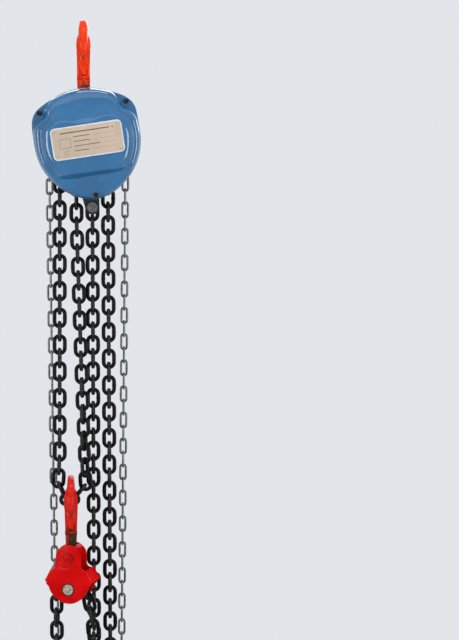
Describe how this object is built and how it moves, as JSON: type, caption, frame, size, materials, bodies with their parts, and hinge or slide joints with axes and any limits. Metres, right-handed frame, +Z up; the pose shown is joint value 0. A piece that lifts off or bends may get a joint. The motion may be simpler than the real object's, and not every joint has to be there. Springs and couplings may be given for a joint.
{
  "type": "manual chain hoist",
  "caption": "Hand-operated chain hoist with a geared, hook-hung body, hand chain, load chain and a swivelling lower hook block stowed on its slack chain.",
  "frame": {"origin": "centre of the top hook's bowl", "axes": "+Z up, +X to the right of the rating plate, -Y out of the rating plate's face"},
  "size_m": [0.1901, 0.1446, 1.2089],
  "materials": {
    "orange_paint": "gloss",
    "red_paint": "gloss",
    "blue_paint": "gloss",
    "black_chain": "black oxide, lightly oiled",
    "hand_chain_steel": "dark zinc",
    "black_steel": "satin black",
    "zinc_steel": "zinc plated",
    "gear_steel": "machined",
    "cast_iron": "as cast",
    "plate_metal": "satin with ruled lines",
    "friction_lining": "brake lining"
  },
  "bodies": {
    "top_hook": {"top_hook": "orange_paint", "top_latch_pin": "zinc_steel", "top_latch_spring": "zinc_steel"},
    "top_latch": {"top_latch": "zinc_steel"},
    "yoke": {"top_yoke_left": "blue_paint", "top_yoke_right": "blue_paint", "suspension_pin": "black_steel"},
    "frame": {"front_side_plate": "black_steel", "rear_side_plate": "black_steel", "stay_tubes": "black_steel", "stay_bolts": "black_steel", "stay_nuts": "black_steel", "front_cover": "blue_paint", "rear_cover": "blue_paint", "rating_plate": "plate_metal", "rating_plate_rivets": "zinc_steel", "chain_stripper": "black_steel", "guide_roller_pins": "zinc_steel", "dead_end_pin": "zinc_steel", "chain_pin_spacers": "zinc_steel", "tail_pin": "zinc_steel", "sheave_bearings": "gear_steel", "gear_carrier": "gear_steel", "carrier_posts": "gear_steel", "ratchet_disc": "gear_steel", "pawl_pins": "gear_steel", "pawl_springs": "zinc_steel", "load_chain_tail_loop": "black_chain", "load_chain_on_sheave": "black_chain", "load_chain_live_fall": "black_chain", "load_chain_dead_end_fall": "black_chain", "hand_chain_on_wheel": "hand_chain_steel", "hand_chain_loop": "hand_chain_steel", "bottom_hook": "orange_paint", "bottom_latch_pin": "zinc_steel", "bottom_latch_spring": "zinc_steel"},
    "load_sheave": {"load_sheave": "cast_iron", "load_gear": "gear_steel"},
    "drive": {"drive_shaft": "gear_steel", "brake_hub": "gear_steel", "friction_discs": "friction_lining", "hand_wheel": "cast_iron", "hand_wheel_nut": "zinc_steel"},
    "disc_gear_left": {"disc_gear_left": "gear_steel"},
    "disc_gear_right": {"disc_gear_right": "gear_steel"},
    "pawl_left": {"pawl_left": "gear_steel"},
    "pawl_right": {"pawl_right": "gear_steel"},
    "guide_roller_left": {"guide_roller_left": "gear_steel"},
    "guide_roller_right": {"guide_roller_right": "gear_steel"},
    "bottom_latch": {"bottom_latch": "zinc_steel"},
    "block": {"block_yoke_left": "red_paint", "block_yoke_right": "red_paint", "front_cheek": "red_paint", "rear_cheek": "red_paint", "block_pin": "red_paint", "block_axle": "zinc_steel", "block_axle_nut": "zinc_steel", "load_chain_on_block": "black_chain"},
    "block_sheave": {"block_sheave": "cast_iron"}
  },
  "joints": [
    {"name": "top_latch_hinge", "type": "hinge", "parent": "top_hook", "child": "top_latch", "pos_m": [0, -0.0125, -0.047], "axis": [1, 0, 0], "range_deg": [-40, 0], "stiffness_Nm_per_rad": 0.03, "springref_deg": 20.05, "deforming": ["top_latch_spring"]},
    {"name": "top_swivel", "type": "hinge", "parent": "top_hook", "child": "yoke", "pos_m": [0, 0, -0.08], "axis": [0, 0, 1], "continuous": true},
    {"name": "suspension_tilt", "type": "hinge", "parent": "yoke", "child": "frame", "pos_m": [0, 0, -0.092], "axis": [0, 1, 0], "range_deg": [-10, 10]},
    {"name": "hand_wheel_spin", "type": "hinge", "parent": "frame", "child": "drive", "pos_m": [0.006, 0, -0.1545], "axis": [0, 1, 0], "continuous": true, "deforming": ["hand_chain_on_wheel", "hand_chain_loop"]},
    {"name": "load_sheave_spin", "type": "hinge", "parent": "frame", "child": "load_sheave", "pos_m": [0.006, 0, -0.1545], "axis": [0, 1, 0], "continuous": true, "deforming": ["load_chain_on_sheave", "load_chain_tail_loop", "load_chain_live_fall"]},
    {"name": "disc_gear_left_spin", "type": "hinge", "parent": "frame", "child": "disc_gear_left", "pos_m": [-0.0311, 0, -0.15998], "axis": [0, 1, 0], "continuous": true},
    {"name": "disc_gear_right_spin", "type": "hinge", "parent": "frame", "child": "disc_gear_right", "pos_m": [0.0431, 0, -0.14902], "axis": [0, 1, 0], "continuous": true},
    {"name": "pawl_left_hinge", "type": "hinge", "parent": "frame", "child": "pawl_left", "pos_m": [-0.021, 0.042, -0.11788], "axis": [0, 1, 0], "range_deg": [-12, 0], "stiffness_Nm_per_rad": 0.01, "springref_deg": 17.19, "deforming": ["pawl_springs"]},
    {"name": "pawl_right_hinge", "type": "hinge", "parent": "frame", "child": "pawl_right", "pos_m": [0.033, 0.042, -0.19112], "axis": [0, 1, 0], "range_deg": [-12, 0], "stiffness_Nm_per_rad": 0.01, "springref_deg": 17.19},
    {"name": "guide_roller_left_spin", "type": "hinge", "parent": "frame", "child": "guide_roller_left", "pos_m": [-0.03791, 0, -0.1994], "axis": [0, 1, 0], "continuous": true},
    {"name": "guide_roller_right_spin", "type": "hinge", "parent": "frame", "child": "guide_roller_right", "pos_m": [0.06101, 0, -0.18479], "axis": [0, 1, 0], "continuous": true},
    {"name": "bottom_latch_hinge", "type": "hinge", "parent": "frame", "child": "bottom_latch", "pos_m": [-0.027, -0.0365, -0.8505], "axis": [1, 0, 0], "range_deg": [-40, 0], "stiffness_Nm_per_rad": 0.03, "springref_deg": 20.05, "deforming": ["bottom_latch_spring"]},
    {"name": "block_swivel", "type": "hinge", "parent": "frame", "child": "block", "pos_m": [-0.027, -0.024, -0.88], "axis": [0, 0, 1], "range_deg": [-6, 4], "deforming": ["load_chain_on_block", "load_chain_dead_end_fall"]},
    {"name": "block_sheave_spin", "type": "hinge", "parent": "block", "child": "block_sheave", "pos_m": [-0.027, -0.024, -0.9525], "axis": [0.309, 0.9511, 0], "continuous": true}
  ],
  "couplings": [
    {"joint": "load_sheave_spin", "follows": "hand_wheel_spin", "ratio": 0.05},
    {"joint": "disc_gear_left_spin", "follows": "hand_wheel_spin", "ratio": -0.2},
    {"joint": "disc_gear_right_spin", "follows": "hand_wheel_spin", "ratio": -0.2},
    {"joint": "block_sheave_spin", "follows": "hand_wheel_spin", "ratio": 0.053949}
  ]
}
